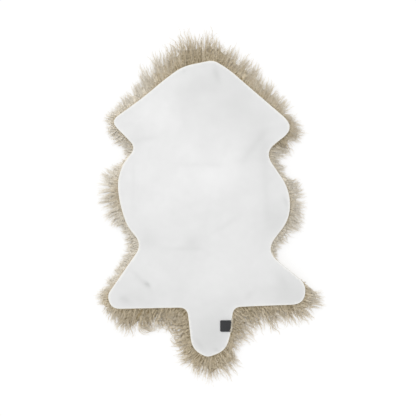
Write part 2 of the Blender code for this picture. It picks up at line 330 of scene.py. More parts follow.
def spots_at(spots, point):
    """What some soft round spots add up to at a point."""
    total = 0.0
    for spot in spots:
        distance = (point - shift - Vector((spot.x, spot.y))).length / spot.radius
        total += spot.amount * math.exp(-distance * distance)
    return total


def edge_distance(point):
    return edge_finder.find(point.to_3d())[2]


def skin_height(point):
    """The height of the skin's underside above the floor."""
    droop = edge_distance(point) / EDGE_DROOP_WIDTH
    level = WOOL_DEPTH + GAP + spots_at(SWELLS, point)
    return level - EDGE_DROOP * math.exp(-droop * droop)


# %% A sheet of even triangles inside the outline
FIELD_SPACING = 0.006
FIELD_INSET = 0.6  # how near to the edge the field starts, as a share of its spacing


def is_inside(point):
    """Whether a point is inside the outline: it is on the inner side of its nearest edge step."""
    place, i, _ = edge_finder.find(point.to_3d())
    return (point - place.xy).dot(edge_out[i]) < 0.0


def fill_outline(spacing):
    """The edge's own points first, then an even field inside, and the triangles between."""
    row_step = spacing * math.sin(math.pi / 3)
    left, foot = min(p.x for p in edge), min(p.y for p in edge)
    columns = int((max(p.x for p in edge) - left) / spacing) + 1
    rows = int((max(p.y for p in edge) - foot) / row_step) + 1
    field = []
    for row in range(rows):
        for column in range(columns):
            x = left + (column + 0.5 * (row % 2)) * spacing
            point = Vector((x, foot + row * row_step))
            if is_inside(point) and edge_distance(point) > spacing * FIELD_INSET:
                field.append(point)
    ring = [(i, (i + 1) % len(edge)) for i in range(len(edge))]
    points, _, faces, *_ = geometry.delaunay_2d_cdt(edge + field, ring, [], 1, 1e-6)
    return points, faces


sheet_points, sheet_faces = fill_outline(FIELD_SPACING)
print(f"the sheet has {len(sheet_points)} points and {len(sheet_faces)} triangles")

# %% [markdown]
# ## A few helpers
#
# Materials and geometry trees are both node trees, so one function adds a node to either. It
# takes the node's settings by name, and a value or another node's socket for each input. The
# skin and the wool's body are both closed shells on the same sheet, so they share a function.

# %% Helpers for node trees


def set_inputs(tree, node, inputs):
    """Gives each named input a value, or a link from another node's socket."""
    for key, value in inputs.items():
        if isinstance(value, bpy.types.NodeSocket):
            tree.links.new(value, node.inputs[key])
        else:
            node.inputs[key].default_value = value


def add_node(tree, kind, inputs=None, **settings):
    """Adds a node, with its settings and with a value or a link for each input."""
    made = tree.nodes.new(kind)
    for name, value in settings.items():
        setattr(made, name, value)
    set_inputs(tree, made, inputs or {})
    return made


def linear(hex_colour):
    """An sRGB hex colour as the linear numbers that a shader works in."""
    parts = [int(hex_colour[i : i + 2], 16) / 255 for i in (1, 3, 5)]
    return (*[p / 12.92 if p <= 0.04045 else ((p + 0.055) / 1.055) ** 2.4 for p in parts], 1.0)


def new_material(name):
    """A material with only its shader and output, and its tree."""
    material = bpy.data.materials.new(name)
    material.use_nodes = True
    tree = material.node_tree
    return material, tree, tree.nodes["Principled BSDF"]


# %% Helpers for meshes


def add_object(name, mesh):
    obj = bpy.data.objects.new(name, mesh)
    bpy.context.scene.collection.objects.link(obj)
    return obj


def store(mesh, name, values):
    """Keeps a number for each vertex, which materials and node trees can read."""
    attribute = mesh.attributes.new(name, "FLOAT", "POINT")
    attribute.data.foreach_set("value", values)


def close_shell(bm, top, under, rings):
    """Faces over the sheet, under it, and between their rims by way of the rings."""
    for face in sheet_faces:
        bm.faces.new([top[i] for i in face])
        bm.faces.new([under[i] for i in reversed(face)])
    count = len(edge)
    rings = [top[:count], *rings, under[:count]]
    for upper, lower in zip(rings, rings[1:]):
        for i in range(count):
            k = (i + 1) % count
            bm.faces.new((upper[k], upper[i], lower[i], lower[k]))
    bmesh.ops.recalc_face_normals(bm, faces=bm.faces)


def finish_mesh(name, bm, material, **numbers):
    """A smooth object, with its material and with some numbers for each vertex."""
    mesh = bpy.data.meshes.new(name)
    bm.to_mesh(mesh)
    bm.free()
    mesh.shade_smooth()
    mesh.materials.append(material)
    for key, values in numbers.items():
        store(mesh, key, values)
    return add_object(name, mesh)


def triangles(obj):
    obj.data.calc_loop_triangles()
    return len(obj.data.loop_triangles)


# %% [markdown]
# ## What the skin's finish is
#
# Tanned sheepskin, buffed on its flesh side. It is a fine matt suede: almost white, neutral
# rather than warm, with cloudy patches where the tanning took unevenly, grey and paler spots,
# and no shine. The finish needs two sizes of cloud for the colour, a fine nap for the bump, and
# a paler band along the rim, a painted highlight where the rolled edge catches the light. The
# mesh says how near the rim a point is and how grey, with painted shade along the creases, so
# the shader can ask for both.

# %% The skin's material
CLOUD_SIZE = 0.060
MOTTLE_SIZE = 0.024
NAP_SIZE = 0.0012  # about as fine as suede's nap can be and still show close up
MOTTLE_SHARE = 0.5  # of the clouds' strength

skin_material, tree, shader = new_material("buffed_tanned_sheepskin")
place = add_node(tree, "ShaderNodeTexCoord").outputs["Object"]
clouds, mottle, nap = [
    add_node(tree, "ShaderNodeTexNoise", {"Vector": place, "Scale": 1 / size, "Detail": detail})
    for size, detail in ((CLOUD_SIZE, 2.0), (MOTTLE_SIZE, 3.0), (NAP_SIZE, 2.0))
]
both = add_node(
    tree,
    "ShaderNodeMath",
    {0: mottle.outputs["Fac"], 1: MOTTLE_SHARE, 2: clouds.outputs["Fac"]},
    operation="MULTIPLY_ADD",
)
ramp = add_node(tree, "ShaderNodeValToRGB", {"Fac": both.outputs[0]})
darkest, palest = ramp.color_ramp.elements
darkest.position, darkest.color = 0.50, linear("#D7D7D7")
palest.position, palest.color = 1.00, linear("#DDDDDD")
colour = ramp.outputs["Color"]
# The first mix greys the skin: its grey spots, and painted shade along its creases. The second is
# a painted highlight, a paler band along the rolled rim.
for name, covering in (("stain", "#B2B3B2"), ("rim", "#DBDBD8")):
    amount = add_node(tree, "ShaderNodeAttribute", attribute_name=name).outputs["Fac"]
    colour = add_node(
        tree,
        "ShaderNodeMix",  # 6 and 7 are its two colours
        {"Factor": amount, 6: colour, 7: linear(covering)},
        data_type="RGBA",
    ).outputs[2]
bump = add_node(
    tree, "ShaderNodeBump", {"Height": nap.outputs["Fac"], "Strength": 0.35, "Distance": 0.0004}
)
set_inputs(
    tree,
    shader,
    {
        "Base Color": colour,
        "Normal": bump.outputs["Normal"],
        "Roughness": 0.88,
        "Specular IOR Level": 0.25,
        "Sheen Weight": 0.08,
        "Sheen Roughness": 0.5,
    },
)

# %% [markdown]
# ## The skin
#
# The skin is one sheet, 2 mm thick. A plane with Solidify would do, but its cut edge would be
# square. Here the sheet's top and underside are the same even triangles, and rings between them
# round the rim. The few creases and the grey and paler spots of the skin are listed one by one,
# each crease with painted shade along it, and so are the places where its edge has curled up
# off the wool, so that it shades the wool beside it.

# %% Creases, spots and lifted edges
# A crease presses the skin down by `depth` and greys it by `dirt`: partly marks and dirt in it,
# partly painted shade in the crease.
Crease = namedtuple("Crease", "name x0 y0 x1 y1 width depth dirt")
CREASES = (
    Crease("neck_fold", 0.018, 0.380, 0.031, 0.339, 0.008, 0.0005, 0.22),
    Crease("neck_nick", -0.064, 0.377, -0.064, 0.361, 0.005, 0.0004, 0.15),
    Crease("shoulder_left_fold", -0.199, 0.176, -0.134, 0.190, 0.009, 0.0007, 0.12),
    Crease("shoulder_right_fold", 0.091, 0.114, 0.159, 0.209, 0.009, 0.0008, 0.14),
    Crease("back_fold", -0.094, 0.114, 0.064, 0.111, 0.009, 0.0006, 0.10),
    Crease("side_right_line", 0.153, 0.182, 0.165, -0.060, 0.010, 0.0007, 0.10),
    Crease("ribs_left_line", -0.200, 0.150, -0.202, -0.027, 0.006, 0.0006, 0.08),
    Crease("flank_right_short", 0.208, 0.027, 0.218, 0.000, 0.005, 0.0006, 0.22),
    Crease("loin_fold", 0.009, -0.076, 0.085, -0.027, 0.007, 0.0005, 0.10),
    Crease("rump_fold", -0.121, -0.114, -0.012, -0.114, 0.006, 0.0005, 0.12),
    Crease("thigh_left_long", -0.210, -0.166, -0.151, -0.231, 0.006, 0.0008, 0.16),
    Crease("thigh_left_spot", -0.170, -0.203, -0.156, -0.216, 0.005, 0.0008, 0.55),
    Crease("thigh_right_fold", 0.186, -0.176, 0.221, -0.225, 0.012, 0.0006, 0.12),
    Crease("leg_right_fold", 0.126, -0.231, 0.099, -0.250, 0.009, 0.0005, 0.10),
    Crease("leg_left_mark", -0.240, -0.243, -0.208, -0.262, 0.008, 0.0004, 0.18),
    Crease("tail_left_mark", -0.034, -0.356, -0.009, -0.390, 0.007, 0.0004, 0.20),
    Crease("tail_right_mark", 0.018, -0.386, 0.029, -0.391, 0.005, 0.0004, 0.30),
)
# Soft spots that grey the skin, or make it paler where the amount is below 0.
TONE_SPOTS = (
    Spot("neck_top", 0.000, 0.350, 0.065, 0.14),
    Spot("neck_right", 0.090, 0.275, 0.060, 0.17),
    Spot("shoulder_right", 0.150, 0.190, 0.055, 0.12),
    Spot("shoulder_left", -0.129, 0.250, 0.055, -0.16),
    Spot("back", -0.085, 0.090, 0.120, -0.18),
    Spot("back_second", 0.045, 0.100, 0.060, -0.14),
    Spot("flank_right", 0.190, -0.030, 0.050, 0.18),
    Spot("flank_left", -0.161, -0.090, 0.022, 0.14),
    Spot("loin", -0.042, -0.095, 0.022, 0.14),
    Spot("thigh_right", 0.225, -0.225, 0.060, 0.22),
    Spot("thigh_left", -0.210, -0.235, 0.050, 0.12),
    Spot("tail", 0.000, -0.340, 0.070, 0.30),
)
LIFTS = (
    Spot("armpit_right", 0.1980, 0.1770, 0.030, 0.0080),
    Spot("armpit_left", -0.2240, 0.1850, 0.026, 0.0040),
    Spot("flank_right", 0.2160, -0.0200, 0.050, 0.0020),
)
EVEN_STAIN = 0.24


def near_crease(point, crease):
    """From 1 in the middle of a crease to 0 away from it, and little at its two ends."""
    a = Vector((crease.x0, crease.y0)) + shift
    run = Vector((crease.x1, crease.y1)) + shift - a
    share = min(1.0, max(0.0, (point - a).dot(run) / run.length_squared))
    distance = (point - a - run * share).length / crease.width
    return math.sin(math.pi * (0.1 + 0.8 * share)) * math.exp(-distance * distance)


def crease_depth(point):
    """How far the creases press the skin down at a point."""
    return sum(crease.depth * near_crease(point, crease) for crease in CREASES)


def stain_and_shade_at(point):
    """How greyed the skin is at a point, from 0 to 1, painted shade along the creases included.
    """
    total = EVEN_STAIN + sum(crease.dirt * near_crease(point, crease) for crease in CREASES)
    return min(1.0, max(0.0, total + spots_at(TONE_SPOTS, point)))


# %% The skin's mesh
RIM_RADIUS = HIDE_THICKNESS / 2
RIM_HIGHLIGHT_WIDTH = 0.0013
RIPPLE_SIZE = 0.045
RIPPLE_HEIGHT = 0.0008
SKIN_CLEARANCE = 0.0002


def skin_surface(point):
    """The visible skin's underside: the plain height, finer ripples and the lifted edges."""
    ripple = abs(noise.noise(point.to_3d() / RIPPLE_SIZE) * RIPPLE_HEIGHT)
    return skin_height(point) + SKIN_CLEARANCE + ripple + spots_at(LIFTS, point)


def make_skin():
    """The sheet's two sides, a skin's thickness apart, with a half-round rim between them."""
    bm = bmesh.new()
    count = len(edge)
    inset = [out * RIM_RADIUS for out in edge_out] + [Vector((0.0, 0.0))] * len(sheet_points)
    places = [point - back for point, back in zip(sheet_points, inset)]
    lows = [skin_surface(point) for point in sheet_points]
    highs = [z - crease_depth(p) + HIDE_THICKNESS for z, p in zip(lows, sheet_points)]
    top = [bm.verts.new((*place, z)) for place, z in zip(places, highs)]
    under = [bm.verts.new((*place, z)) for place, z in zip(places, lows)]
    rings = []
    for degrees in (45, 90, 135):
        back = RIM_RADIUS * (1.0 - math.sin(math.radians(degrees)))
        drop = RIM_RADIUS * (1.0 - math.cos(math.radians(degrees)))
        ring = []
        for point, out, vertex in zip(edge, edge_out, top):
            ring.append(bm.verts.new((*(point - out * back), vertex.co.z - drop)))
        rings.append(ring)
    close_shell(bm, top, under, rings)
    # The rim's paler band is a painted highlight along the rolled edge, strongest at the edge
    # itself.
    inner = [edge_distance(point) / RIM_HIGHLIGHT_WIDTH for point in sheet_points[count:]]
    rim = [1.0] * count + [math.exp(-(share**2)) for share in inner]
    stain = [stain_and_shade_at(point) for point in sheet_points]
    ring_count = count * len(rings)
    return finish_mesh(
        "skin",
        bm,
        skin_material,
        rim=rim * 2 + [1.0] * ring_count,
        stain=stain * 2 + [0.0] * ring_count,
    )


skin = make_skin()
skin_finder = BVHTree.FromObject(skin, bpy.context.evaluated_depsgraph_get())
flat_area = sum(
    (sheet_points[b] - sheet_points[a]).cross(sheet_points[c] - sheet_points[a]) / 2
    for a, b, c in sheet_faces
)
print(f"skin: {triangles(skin)} triangles, flat area {abs(flat_area):.4f} m2")

# %% [markdown]
# ## What the wool's finish is
#
# Long undyed greige wool. Each fibre is matt with a soft edge, darker and yellower near its
# root and bleached at its tip, and whole locks differ from their neighbours. The mesh carries
# two numbers for that, `along` from root to tip and `shade` for the lock and fibre; `shade` also
# carries the table's `pale`, which is partly painted light, and the painted shade of the body's
# rings next to the skin. The shader adds broad patches in object space, and flecks that are
# calmer in pale wool, because dark gaps would stand out there. Sheen gives the soft edge. There
# is no light inside the fibres: at this size that turns the wool grey. The wool's body between
# the locks is a little duller and darker, painted shade for the shadow down between them.

# %% The wool's material
WOOL_PATCH_SIZE = 0.035
WOOL_FLECK_SIZE = 0.006
STRAND_SIZE = 0.0016
# The darkest stop, which dark locks reach, and the rings next to the skin with their painted
# shade.
DEEP_WOOL = "#97886A"
ROOT_FLOW = 0.32  # where a plain root is on the ramp, and how far each thing moves it:
ALONG_SHARE = 0.26
PATCH_SHARE = 0.18
FLECK_SHARE = 0.66
FLECK_CALMED = -0.26  # for each 1 of shade
SHADE_SHARE = 0.24


def make_wool_material(name, root, middle, tip):
    """Wool whose colour runs from its roots to its tips, varied by lock and by patch."""
    material, tree, shader = new_material(name)
    place = add_node(tree, "ShaderNodeTexCoord").outputs["Object"]
    patches, flecks = [
        add_node(
            tree, "ShaderNodeTexNoise", {"Vector": place, "Scale": 1 / size, "Detail": detail}
        ).outputs["Fac"]
        for size, detail in ((WOOL_PATCH_SIZE, 2.0), (WOOL_FLECK_SIZE, 1.0))
    ]
    along, shade = [
        add_node(tree, "ShaderNodeAttribute", attribute_name=key).outputs["Fac"]
        for key in ("along", "shade")
    ]
    centred = add_node(tree, "ShaderNodeMath", {0: flecks, 1: 0.5}, operation="SUBTRACT")
    calm = add_node(
        tree,
        "ShaderNodeMath",
        {0: shade, 1: FLECK_CALMED, 2: FLECK_SHARE},
        operation="MULTIPLY_ADD",
        use_clamp=True,
    )
    flow = ROOT_FLOW
    for amount, share in (
        (along, ALONG_SHARE),
        (patches, PATCH_SHARE),
        (centred.outputs[0], calm.outputs[0]),
        (shade, SHADE_SHARE),
    ):
        flow = add_node(
            tree, "ShaderNodeMath", {0: amount, 1: share, 2: flow}, operation="MULTIPLY_ADD"
        ).outputs[0]
    ramp = add_node(tree, "ShaderNodeValToRGB", {"Fac": flow})
    stops = ramp.color_ramp.elements
    stops[0].position, stops[0].color = 0.24, linear(DEEP_WOOL)
    stops[1].position, stops[1].color = 0.86, linear(tip)
    stops.new(0.37).color = linear(root)
    stops.new(0.54).color = linear(middle)
    inputs = {
        "Base Color": ramp.outputs["Color"],
        "Roughness": 0.80,
        "Specular IOR Level": 0.05,
        "Sheen Weight": 0.30,
        "Sheen Roughness": 0.5,
    }
    set_inputs(tree, shader, inputs)
    return material, tree, shader


wool_material, _, _ = make_wool_material("undyed_greige_wool", "#C8BA9E", "#D8CAAF", "#ECE5D7")
# The packed body is duller and darker than the locks: painted shade for the shadow down between
# them.
packed_wool_painted_shade, tree, shader = make_wool_material(
    "undyed_greige_wool_packed", "#B6AA91", "#CCC0A9", "#DCD5C6"
)
place = add_node(tree, "ShaderNodeTexCoord").outputs["Object"]
strands = add_node(
    tree, "ShaderNodeTexNoise", {"Vector": place, "Scale": 1 / STRAND_SIZE, "Detail": 2.0}
)
bump = add_node(
    tree,
    "ShaderNodeBump",
    {"Height": strands.outputs["Fac"], "Strength": 0.2, "Distance": 0.0015},
)
set_inputs(tree, shader, {"Normal": bump.outputs["Normal"]})

# %% [markdown]
# ## How the wool grows round the edge
#
# At each step of the edge the wool has a direction. It is the edge's own direction averaged
# over a hand's width, turned by the corner's lean and by a slow wander, so that near locks
# agree and far ones don't. The wool's body and its locks both use these directions.

# %% The wool's steps
WOOL_STEP = 0.0031
DIRECTION_WINDOW = 0.070
WANDER_SIZE = 0.060
WANDER_DEG = 7.0

wool_steps, wool_step = evenly_spaced(WOOL_STEP)
wool_count = len(wool_steps)
mean_out = smoothed_normals(wool_steps, round(DIRECTION_WINDOW / wool_step))


def wander(point, salt):
    """A number from -1 to 1 that changes slowly from place to place."""
    return max(-1.0, min(1.0, noise.noise(Vector((*point, salt)) / WANDER_SIZE) * 1.6))


def wool_direction(i):
    step = wool_steps[i % wool_count]
    turn = -math.radians(step.lean) + math.radians(WANDER_DEG) * wander(step.point, 0.3)
    return Matrix.Rotation(turn, 2) @ mean_out[i % wool_count]


out_directions = [wool_direction(i) for i in range(wool_count)]
print(f"{wool_count} steps of {wool_step * 1000:.1f} mm round the edge")

# %% [markdown]
# ## The wool's body
#
# Under the skin the wool is packed so tight that no floor shows through it. Fibres alone can't
# do that at a sensible count, so a closed lumpy body lies inside them: the same sheet of
# triangles above and below, and a soft skirt of rings past the skin's edge. The rings next to
# the skin are darker, because little light gets down between it and the locks.

# %% The wool's body
HOLLOW_RISE = 0.012
HOLLOW_SIZE = 0.055
FOOT_RADIUS = 0.060
LUMP_SIZE = 0.016
LUMP_HEIGHT = 0.0025
BODY_LIFT = 0.0015  # the locks' tips are what touches the floor
LEAST_BODY = 0.008  # the thinnest that the body gets
SKIRT_LUMP_SIZE = 0.012
SKIRT_LUMPS = 0.35  # how uneven the rings are, as a share of their reach
SKIRT_LEAST = (0.0004, 0.002)  # how far out and how high a ring is at the least
# The body's rings take the table's `pale` too, which is partly painted light.
BODY_PALE = 1.5  # how much more the body's tone follows the table than a lock's does

# `dark` is the painted shade on the rings next to the skin, where little light gets in.
Ring = namedtuple("Ring", "share height dark")  # share of the wool's reach, of its depth
BODY_RINGS = (
    Ring(0.05, 0.80, 1.6),
    Ring(0.18, 0.74, 0.5),
    Ring(0.31, 0.56, 0.0),
    Ring(0.42, 0.36, 0.0),
    Ring(0.46, 0.19, 0.0),
    Ring(0.35, 0.09, 0.0),
)


def wool_underside(point):
    """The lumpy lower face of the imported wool: flat in the middle, with hollows elsewhere."""
    hollows = noise.noise(point.to_3d() / HOLLOW_SIZE) * 2.0 + 0.1
    off_foot = min(1.0, max(0.0, point.length / FOOT_RADIUS - 1.0))
    lump = (noise.noise(point.to_3d() / LUMP_SIZE) + 0.6) * LUMP_HEIGHT
    z = max(0.0, HOLLOW_RISE * hollows) * off_foot + max(0.0, lump) + BODY_LIFT
    return min(z, skin_height(point) - LEAST_BODY)


def skirt_direction(i, share, far_out):
    """Straight out of the edge at its root, and soon the way that the wool leans."""
    turn = Matrix.Rotation(-math.radians(edge_steps[i].lean), 2)
    return edge_out[i].lerp(turn @ far_out[i], min(1.0, share * 3)).normalized()


def make_wool_body():
    """The sheet's two sides again, far apart, with the skirt of rings between them."""
    bm = bmesh.new()
    heights = [skin_height(point) - 2 * GAP for point in sheet_points]
    top = [bm.verts.new((*point, z)) for point, z in zip(sheet_points, heights)]
    under = [bm.verts.new((*point, wool_underside(point))) for point in sheet_points]
    far_out = smoothed_normals(edge_steps, round(DIRECTION_WINDOW / EDGE_STEP))
    least_reach, least_height = SKIRT_LEAST
    shades = [0.0] * (2 * len(sheet_points))
    rings = []
    for ring in BODY_RINGS:
        row = []
        for i, step in enumerate(edge_steps):
            place = Vector((*(step.point / SKIRT_LUMP_SIZE), ring.share))
            lump = 1.0 + SKIRT_LUMPS * noise.noise(place)
            reach = step.reach * ring.share * lump * (0.5 + 0.5 * step.thick)
            out = skirt_direction(i, ring.share, far_out)
            spot = step.point + out * max(least_reach, reach)
            row.append(bm.verts.new((*spot, max(least_height, heights[i] * ring.height))))
            shades.append(step.pale * BODY_PALE - ring.dark)
        rings.append(row)
    close_shell(bm, top, under, rings)
    return finish_mesh("wool_body", bm, packed_wool_painted_shade, shade=shades)


wool_body = make_wool_body()
print(f"wool body: {triangles(wool_body)} triangles")

# %% [markdown]
# ## A tree that turns guide lines into wool
#
# A lock of wool is many fibres that follow one line. So only the line is drawn, by rule, as a
# guide, and Geometry Nodes do the rest: they copy each guide, cut the copies to different
# lengths, push them apart by the guide's own `room`, crimp them, and give them a thickness.
# It is the way hair tools work, but the result here is a plain mesh.

# %% What the tree is given
Guide = namedtuple("Guide", "path room depth crimp tone segment")
# path: its points from root to tip. room and depth: how far the fibres spread to the sides
# and up, at each point. crimp: the height of their small waves. tone: darker or paler.
# segment: the length of a fibre's straight pieces.
GUIDE_NUMBERS = Guide._fields[1:]
DRAWS = (  # the numbers that each fibre draws for itself, and their limits
    ("fibre_angle", 0.0, math.tau),
    ("fibre_offset", 0.0, 1.0),
    ("fibre_phase", 0.0, math.tau),
    ("fibre_end", 0.74, 1.0),
    ("fibre_shade", -0.12, 0.12),
    ("fibre_loose", 0.0, 1.0),
)
SEED_STEP = 17

tree = bpy.data.node_groups.new("fibres along guides", "GeometryNodeTree")
for name, kind in (
    ("Geometry", "Geometry"),
    ("Fibres", "Int"),
    ("Radius", "Float"),
    ("Crimp length", "Float"),
    ("Clearance", "Float"),
    ("Seed", "Int"),
    ("Material", "Material"),
):
    tree.interface.new_socket(name, in_out="INPUT", socket_type="NodeSocket" + kind)
tree.interface.new_socket("Geometry", in_out="OUTPUT", socket_type="NodeSocketGeometry")
given = add_node(tree, "NodeGroupInput").outputs

# %% Copy the guides, and cut the copies
curves = add_node(tree, "GeometryNodeMeshToCurve", {"Mesh": given["Geometry"]})
flow = add_node(
    tree,
    "GeometryNodeDuplicateElements",
    {"Geometry": curves.outputs["Curve"], "Amount": given["Fibres"]},
    domain="SPLINE",
).outputs["Geometry"]
for number, (name, low, high) in enumerate(DRAWS):
    seed = add_node(
        tree, "ShaderNodeMath", {0: given["Seed"], 1: number * SEED_STEP}, operation="ADD"
    )
    draw = add_node(
        tree,
        "FunctionNodeRandomValue",  # 2 and 3 are its limits
        {2: low, 3: high, "Seed": seed.outputs[0]},
        data_type="FLOAT",
    )
    flow = add_node(
        tree,
        "GeometryNodeStoreNamedAttribute",
        {"Geometry": flow, "Name": name, "Value": draw.outputs[1]},
        data_type="FLOAT",
        domain="CURVE",
    ).outputs["Geometry"]

spline = add_node(tree, "GeometryNodeSplineParameter").outputs
values = {
    "tangent": add_node(tree, "GeometryNodeInputTangent").outputs["Tangent"],
    "factor": spline["Factor"],
    "length": spline["Length"],
    "crimp_length": given["Crimp length"],
    "thickness": given["Radius"],
}
for name in (*[draw[0] for draw in DRAWS], *GUIDE_NUMBERS):
    values[name] = add_node(
        tree, "GeometryNodeInputNamedAttribute", {"Name": name}, data_type="FLOAT"
    ).outputs["Attribute"]
flow = add_node(
    tree, "GeometryNodeTrimCurve", {"Curve": flow, "End": values["fibre_end"]}, mode="FACTOR"
).outputs["Curve"]
flow = add_node(
    tree, "GeometryNodeResampleCurve", {"Curve": flow, "Length": values["segment"]}, mode="LENGTH"
).outputs["Curve"]

# %% Where each point of a fibre goes, how pale it is and how thick
MATH, VECTOR = "ShaderNodeMath", "ShaderNodeVectorMath"
FORMULA = (  # a result's name, its node and operation, and numbers or results that go in
    ("across", VECTOR, "CROSS_PRODUCT", "tangent", (0.0, 0.0, 1.0)),
    ("side", VECTOR, "NORMALIZE", "across"),
    ("up", VECTOR, "CROSS_PRODUCT", "side", "tangent"),
    # fibres fill a round lock evenly, and a few stray far from it at their ends
    ("loose", MATH, "POWER", "fibre_loose", 5.0),
    ("looser", MATH, "MULTIPLY", "loose", "factor"),
    ("stray", MATH, "MULTIPLY_ADD", "looser", 2.5, 1.0),
    ("even", MATH, "SQRT", "fibre_offset"),
    ("offset", MATH, "MULTIPLY", "even", "stray"),
    # the crimp is a small helix
    ("turns", MATH, "DIVIDE", "length", "crimp_length"),
    ("wave", MATH, "MULTIPLY_ADD", "turns", math.tau, "fibre_phase"),
    ("place_side", MATH, "COSINE", "fibre_angle"),
    ("room_side", MATH, "MULTIPLY", "room", "place_side"),
    ("wave_side", MATH, "SINE", "wave"),
    ("crimp_side", MATH, "MULTIPLY", "crimp", "wave_side"),
    ("sideways", MATH, "MULTIPLY_ADD", "room_side", "offset", "crimp_side"),
    ("place_up", MATH, "SINE", "fibre_angle"),
    ("room_up", MATH, "MULTIPLY", "depth", "place_up"),
    ("wave_up", MATH, "COSINE", "wave"),
    ("crimp_up", MATH, "MULTIPLY", "crimp", "wave_up"),
    ("upwards", MATH, "MULTIPLY_ADD", "room_up", "offset", "crimp_up"),
    ("lifted", VECTOR, "MULTIPLY", "up", "upwards"),
    ("moved", VECTOR, "MULTIPLY_ADD", "side", "sideways", "lifted"),
    # the lock's tone shows more towards the tip
    ("grown", MATH, "MULTIPLY_ADD", "factor", 0.6, 0.6),
    ("lock_shade", MATH, "MULTIPLY", "tone", "grown"),
    ("shade", MATH, "ADD", "lock_shade", "fibre_shade"),
    # the tip is a quarter as thick as the root
    ("ended", MATH, "POWER", "factor", 2.0),
    ("taper", MATH, "MULTIPLY_ADD", "ended", -0.75, 1.0),
    ("radius", MATH, "MULTIPLY", "taper", "thickness"),
)
for name, kind, operation, *inputs in FORMULA:
    inputs = [values[x] if isinstance(x, str) else x for x in inputs]
    made = add_node(tree, kind, dict(enumerate(inputs)), operation=operation)
    values[name] = made.outputs[0]

# %% Move the points, and turn the lines into a mesh
ANYWHERE = -100.0  # lower than any X or Y, so that only the height is held up

position = add_node(tree, "GeometryNodeInputPosition").outputs["Position"]
lowest = add_node(
    tree, "ShaderNodeCombineXYZ", {"X": ANYWHERE, "Y": ANYWHERE, "Z": given["Clearance"]}
)
above_floor = add_node(
    tree, VECTOR, {0: position, 1: lowest.outputs["Vector"]}, operation="MAXIMUM"
)
for where in ({"Offset": values["moved"]}, {"Position": above_floor.outputs[0]}):
    flow = add_node(tree, "GeometryNodeSetPosition", {"Geometry": flow, **where}).outputs[0]
for name, value in (("along", values["factor"]), ("shade", values["shade"])):
    flow = add_node(
        tree,
        "GeometryNodeStoreNamedAttribute",
        {"Geometry": flow, "Name": name, "Value": value},
        data_type="FLOAT",
        domain="POINT",
    ).outputs["Geometry"]
profile = add_node(
    tree, "GeometryNodeCurvePrimitiveCircle", {"Resolution": 3, "Radius": 1.0}, mode="RADIUS"
).outputs["Curve"]
flow = add_node(
    tree,
    "GeometryNodeCurveToMesh",
    {"Curve": flow, "Profile Curve": profile, "Scale": values["radius"], "Fill Caps": True},
).outputs["Mesh"]
for pattern in ("fibre_*", *GUIDE_NUMBERS):
    flow = add_node(
        tree,
        "GeometryNodeRemoveAttribute",
        {"Geometry": flow, "Name": pattern},
        pattern_mode="WILDCARD",
    ).outputs["Geometry"]
for kind, inputs in (
    ("GeometryNodeSetShadeSmooth", {}),
    ("GeometryNodeRealizeInstances", {}),
    ("GeometryNodeSetMaterial", {"Material": given["Material"]}),
):
    flow = add_node(tree, kind, {"Geometry": flow, **inputs}).outputs["Geometry"]
add_node(tree, "NodeGroupOutput", {"Geometry": flow})
fibre_tree = tree
print(f"the tree has {len(tree.nodes)} nodes")

# %% Turn a list of guides into one piece of wool


def grow_wool(name, guides, seed, sizes):
    """A mesh of fibres along the guides, made by the tree and kept as a plain mesh."""
    verts, edges = [], []
    columns = {key: [] for key in GUIDE_NUMBERS}
    for guide in guides:
        start = len(verts)
        verts += [tuple(p) for p in guide.path]
        edges += [(k, k + 1) for k in range(start, len(verts) - 1)]
        for key, column in columns.items():
            value = getattr(guide, key)
            column += value if isinstance(value, list) else [value] * len(guide.path)
    mesh = bpy.data.meshes.new(name + "_guides")
    mesh.from_pydata(verts, edges, [])
    for key, column in columns.items():
        store(mesh, key, column)
    obj = add_object(name, mesh)
    modifier = obj.modifiers.new("fibres", "NODES")
    modifier.node_group = fibre_tree
    inputs = {**sizes, "Seed": seed, "Material": wool_material}
    for item in fibre_tree.interface.items_tree:
        if item.in_out == "INPUT" and item.name in inputs:
            modifier[item.identifier] = inputs[item.name]
    grown = obj.evaluated_get(bpy.context.evaluated_depsgraph_get())
    result = bpy.data.meshes.new_from_object(grown)
    result.name = name
    obj.modifiers.clear()
    obj.data = result
    bpy.data.meshes.remove(mesh)
    print(f"{name}: {len(guides)} locks, {triangles(obj)} triangles")
    return obj


# %% [markdown]
# ## Locks round the edge
#
# Wool hangs together in locks, and locks in bigger clumps whose tips draw to a point, with a
# gap between one clump and the next. Four layers lie over each other like shingles: the top
# one starts right under the skin's edge and is the shortest, the lower ones reach the floor.
# Each step of the edge draws its own random numbers, so that a changed row of the table moves
# only its own wool.

# %% Clumps along the edge
CLUMP_WIDTHS = (0.009, 0.024)
Clump = namedtuple("Clump", "middle half length turn tone bend wave pitch phase chance hand")
# middle and half: where it is and half its width, in metres along the edge. turn: degrees.
# wave, pitch and phase: the waves that its strands share. chance and hand: whether its tips
# curl, and to which side.
CLUMP_DRAWS = (
    ("length", 0.86, 1.08),
    ("turn", -8.0, 8.0),
    ("tone", -0.5, 0.5),
    ("bend", -0.18, 0.18),
    ("wave", 0.0010, 0.0024),
    ("pitch", 0.018, 0.030),
    ("phase", 0.0, math.tau),
)


def plan_clumps():
    """Cuts the edge's steps into clumps of different widths."""
    rng = random.Random(11)
    clumps = []
    start = 0.0
    total = wool_count * wool_step
    while start < total - CLUMP_WIDTHS[0] / 2:
        width = min(rng.uniform(*CLUMP_WIDTHS), total - start)
        drawn = {name: rng.uniform(low, high) for name, low, high in CLUMP_DRAWS}
        chance, hand = rng.random(), rng.choice((-1, 1))
        clumps.append(Clump(start + width / 2, width / 2, chance=chance, hand=hand, **drawn))
        start += width
    return clumps


clumps = plan_clumps()
print(f"{len(clumps)} clumps along the edge")

# %% Locks in layers
Layer = namedtuple("Layer", "name inset start end length")
